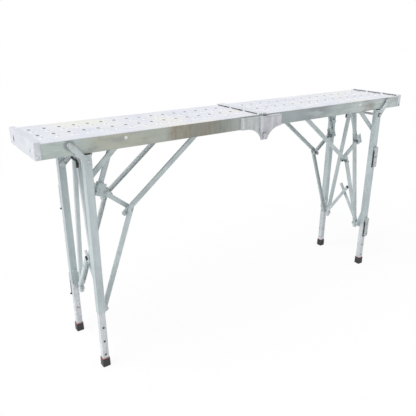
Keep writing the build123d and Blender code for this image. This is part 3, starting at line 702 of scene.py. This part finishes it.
foot_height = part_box("left_front_foot")[1][2]
foot_rubber = rubber("foot_rubber", foot_black, foot_scuff, foot_height - rim_depth / 2, seal_red)
for side in sides:
    for row in rows:
        body = f"{side}_{row}_inner_leg"
        low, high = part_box(f"{side}_{row}_foot")
        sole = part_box(body)[0][2] - low[2] - foot_seat
        base = ((low[0] + high[0]) / 2, (low[1] + high[1]) / 2, low[2])
        steps = foot_profile((high[0] - low[0]) / 2, high[2] - low[2], sole)
        points, faces = moulded(base, up, along_x, (1, 1), steps, foot_corner, foot_around)
        cap = add_piece(f"{side}_{row}_foot_cap", points, faces, foot_rubber, body)
        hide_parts(f"{side}_{row}_foot")


# Long braces and cross bars. Two square tubes lean from the leg lugs to a sleeve on the head rod, and two
# flat bars cross between them, riveted where they cross, all galvanised like the legs. One bar of each pair
# ends in a black rubber cap, and a black hook of round bar hangs from the sleeve.
brace_grey = (0.60, 0.66, 0.675, 1)
brace_shade = (0.48, 0.545, 0.56, 1)
brace_zinc = zinc("brace_zinc", brace_grey, brace_shade, leg_edge, run=(1, 4, 30), blotch=0.35)
for side in sides:
    dress(f"{side}_long_braces", brace_zinc)
    dress(f"{side}_cross_brace", brace_zinc)

bar_lean = 0.567
bar_climb = 0.824
bar_rise = (0, -bar_lean, bar_climb)
bar_across = (0, bar_climb, bar_lean)
bar_half = (0.0085, 0.0036)
bar_lap = 0.006
bar_corner = 10
bar_tip_x = {"left": -0.7755, "right": 0.7545}
bar_tip_y = -0.0327
bar_tip_z = 0.4345
bar_end_steps = [(-bar_lap, 1), (0.001, 1), (0.0022, 0.94), (0.0028, 0.7)]
sleeve_low = 0.841
hook_x = 0.7795
hook_y = 0.003
hook_root = 0.004
hook_drop = 0.0105
hook_reach = 0.048
hook_tail = 0.024
hook_bend = 0.008
hook_radius = 0.0041
hook_swell = np.array((1.35, 1.2))


def hook_path(turn):
    """Middle line of the hook, from the sleeve down, level along the deck's width, and down again: straight
    runs joined by quarter circles."""
    level = sleeve_low - hook_drop
    quarter = np.linspace(0, np.pi / 2, 7)
    across = hook_bend * (1 - np.cos(quarter))
    down = hook_bend * (1 - np.sin(quarter))
    start = [[hook_y, sleeve_low + hook_root]]
    first = np.stack([hook_y - across, level + down], axis=-1)
    second = np.stack([down - hook_reach, level - across], axis=-1)
    end = [[-hook_reach, level - hook_tail]]
    line = np.concatenate([start, first, second, end])
    return np.stack([np.full(len(line), turn * hook_x), -turn * line[:, 0], line[:, 1]], axis=-1)


def swept(path, radii, around=20):
    """Points and faces of a round bar along a path that lies square to the X axis. Each ring is a circle in
    the plane of the X axis and the path's own normal, and the ends close on poles."""
    ahead = np.gradient(path, axis=0)
    ahead /= np.linalg.norm(ahead, axis=1)[:, None]
    side = np.array(along_x, float)
    normal = np.cross(ahead, side)
    angle = np.linspace(0, 2 * np.pi, around, endpoint=False)
    ring = np.cos(angle)[None, :, None] * side + np.sin(angle)[None, :, None] * normal[:, None]
    rings = path[:, None] + radii[:, None, None] * ring
    points = np.concatenate([rings.reshape(-1, 3), path[:1], path[-1:]])
    return points, lathe_faces(len(path), around)


for side, turn in sides.items():
    body = f"{side}_leg_frame"
    tip = (bar_tip_x[side], bar_tip_y, bar_tip_z)
    points, faces = moulded(tip, bar_rise, bar_across, bar_half, bar_end_steps, bar_corner)
    add_piece(f"{side}_bar_end", points, faces, plug_rubber, body)
    path = hook_path(turn)
    radii = np.full(len(path), hook_radius)
    radii[-2:] = hook_radius * hook_swell
    points, faces = swept(path, radii)
    add_piece(f"{side}_hook", points, faces, plug_rubber, body)


# Folding links. Knees, stays, lock links and drop bars are pressed channels with round ends, galvanised in a
# batch, so their zinc is a shade darker and cloudier than the tubes. Painted light pales the hollows of the
# channels and the rear links of the left end, and spots of painted shade sit at the joints.
link_grey = (0.56, 0.625, 0.635, 1)
link_shade = (0.40, 0.46, 0.47, 1)
# Painted light: the pale colour that the channels' hollows and the rear links of the left end are lightened
# towards.
link_painted_light = (0.80, 0.83, 0.84, 1)
# Painted shade at the joints: the place along the deck, the height and the radius of each dark spot.
shaded_joints = ((0.606, 0.628, 0.008), (0.630, 0.620, 0.005), (0.703, 0.713, 0.008))
ragged_size = 0.006
spot_outer = 0.002
spot_inner = 0.001
end_soft = 0.1
rear_span = (0.02, 0.06)


def link_marks(place, tint):
    """Painted shade at the joints of the links: a dark spot of a given radius round each place along the
    deck and up it, broken up by noise, and thicker at the right end. The rear links of the left end are
    lightened by painted light."""
    x = place.along(0)
    z = place.along(2)
    thick = x.rise(-end_soft, end_soft) * 0.5 + 0.3
    ragged = place.cloud(ragged_size, detail=3) * ragged_size - ragged_size / 2
    rear_left_light = x.rise(end_soft, -end_soft) * place.along(1).rise(*rear_span)
    tint = (rear_left_light * 0.4).mix(tint, link_painted_light)
    for spot_x, spot_z, radius in shaded_joints:
        distance = (abs(x) - spot_x).from_spot(z - spot_z) + ragged
        tint = (distance.rise(radius + spot_outer, radius - spot_inner) * thick).mix(tint, joint_shade)
    return tint


# Painted light: here the occlusion mask lightens the hollows of the channels towards the pale corner colour.
link_zinc = zinc("link_zinc", link_grey, link_shade, leg_edge, run=(6, 1, 6), streaks=0.3, blotch=0.4,
                 grime_and_shade=0.8, corner=link_painted_light, marks=link_marks)
for side in sides:
    for group in ("knees", "upper_stays", "lower_stays", "lock_links", "drop_bars"):
        dress(f"{side}_{group}", link_zinc)


# Leg latches. A folded bracket and a sprung handle on one leg of each end, plated, with dark clouds of dirt.
# Each handle has a black rubber knob at its foot, and a black strip along it is a dark piece that stands for
# the shade in the gap beside the handle.
latch_plate = (0.50, 0.54, 0.55, 1)
latch_dirt = (0.12, 0.125, 0.125, 1)
latch_finish = plated("latch_finish", latch_plate, latch_dirt, 0.4)
leg_face_y = 0.160
trim_around = 24
knob_radius = 0.0042
knob_length = 0.0065
knob_corner = 2.2
knob_sink = 0.0005
knob_off = 0.0065
knob_rise = 0.003
knob_steps = [(0, 0.8), (0.0015, 0.9), (0.003, 1), (0.0045, 0.95), (0.0058, 0.7), (knob_length, 0.35)]
strip_half = (0.0022, 0.0040)
strip_corner = 6
strip_edge = 0.001
strip_inset = 0.0096
strip_off = 0.0053
strip_foot = 0.012
strip_head = 0.022
for side, turn in sides.items():
    dress(f"{side}_latch_housings", latch_finish)
    for level in ("upper", "lower"):
        body = f"{side}_{level}_latch"
        dress(body, latch_finish)
        low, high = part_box(body)
        knob = (low[0] + knob_sink, -turn * (leg_face_y + knob_off), low[2] + knob_rise)
        points, faces = moulded(knob, (-1, 0, 0), up, (knob_radius, knob_radius), knob_steps, knob_corner,
                                trim_around)
        add_piece(f"{body}_knob", points, faces, plug_rubber, body)
        # Painted shade: the strip is a dark piece in the black rubber finish, put in the gap beside the
        # handle where shade falls.
        strip = (turn * (leg_x - strip_inset), -turn * (leg_face_y + strip_off), low[2] + strip_foot)
        length = high[2] - low[2] - strip_foot - strip_head
        strip_steps = [(0, 0.8), (strip_edge, 1), (length - strip_edge, 1), (length, 0.8)]
        points, faces = moulded(strip, up, along_x, strip_half, strip_steps, strip_corner, trim_around)
        add_piece(f"{body}_strip", points, faces, plug_rubber, body)


# Floor. A wide pale sheet of paper that runs out to white, and keeps a soft shadow under the legs.
# It is part of the stage and not of the platform.
floor_reach = 30
floor_white = (0.92, 0.92, 0.92, 1)
floor_glow = 0.9
white = (1, 1, 1, 1)
floor_mesh = bpy.data.meshes.new("floor")
corners = [(-floor_reach, -floor_reach, 0), (floor_reach, -floor_reach, 0), (floor_reach, floor_reach, 0),
           (-floor_reach, floor_reach, 0)]
floor_mesh.from_pydata(corners, [], [(0, 1, 2, 3)])
floor = bpy.data.objects.new("floor", floor_mesh)
bpy.context.scene.collection.objects.link(floor)
floor_finish, floor_shader, floor_place = new_finish("floor_paper")
floor_shader.inputs["Base Color"].default_value = floor_white
floor_shader.inputs["Roughness"].default_value = 1
floor_shader.inputs["Specular IOR Level"].default_value = 0
glow = floor_place.node("ShaderNodeEmission", sockets={"Color": white, "Strength": 1})
seen = floor_place.node("ShaderNodeLightPath", out="Is Camera Ray") * floor_glow
floor_mixed = floor_place.node("ShaderNodeMixShader", sockets={0: seen, 2: glow})
floor_tree = floor_finish.node_tree
floor_tree.links.new(floor_shader.outputs[0], floor_mixed.socket.node.inputs[1])
floor_mixed.feed(floor_tree.nodes["Material Output"], "Surface")
floor_mesh.materials.append(floor_finish)


# Light. An even pale surround, white where the camera or a reflection sees it, and one broad soft lamp high
# on the left, which leaves the fronts a shade darker than the tops and the left faces.
surround = 0.5
lamp_strength = 2.3
lamp_spread = 60
lamp_from = (-0.64, -0.05, 0.77)
world = bpy.data.worlds.new("studio")
bpy.context.scene.world = world
world.use_nodes = True
background = world.node_tree.nodes["Background"]
background.inputs["Color"].default_value = white
sky = Tone(world.node_tree)
ray_kinds = ("Camera", "Glossy", "Transmission")
rays = [sky.node("ShaderNodeLightPath", out=f"Is {kind} Ray") for kind in ray_kinds]
looked_at = sky.maths("MINIMUM", rays[0] + rays[1] + rays[2], 1)
(surround + looked_at * (1 - surround)).feed(background, "Strength")
lamp = bpy.data.objects.new("key_lamp", bpy.data.lights.new("key_lamp", "SUN"))
lamp.data.energy = lamp_strength
lamp.data.angle = radians(lamp_spread)
lamp.rotation_euler = Vector(lamp_from).to_track_quat("Z", "Y").to_euler()
bpy.context.scene.collection.objects.link(lamp)


# Camera. Placed where the photograph was taken from, in front of the left end and a little above the deck.
# Its lens is worked out from the focal length in pixels that fits the photograph's lines.
camera_place = (-1.336, -1.685, 1.297)
camera_heading = -34.579
camera_dip = 21.257
frame_pixels = 416
focal_pixels = 478.8
sensor_width = 36
camera = bpy.data.objects.new("camera", bpy.data.cameras.new("camera"))
camera.data.sensor_width = sensor_width
camera.data.lens = sensor_width * focal_pixels / frame_pixels
camera.location = camera_place
camera.rotation_euler = (radians(90 - camera_dip), 0, radians(camera_heading))
bpy.context.scene.collection.objects.link(camera)
bpy.context.scene.camera = camera
bpy.context.scene.view_settings.view_transform = "Standard"
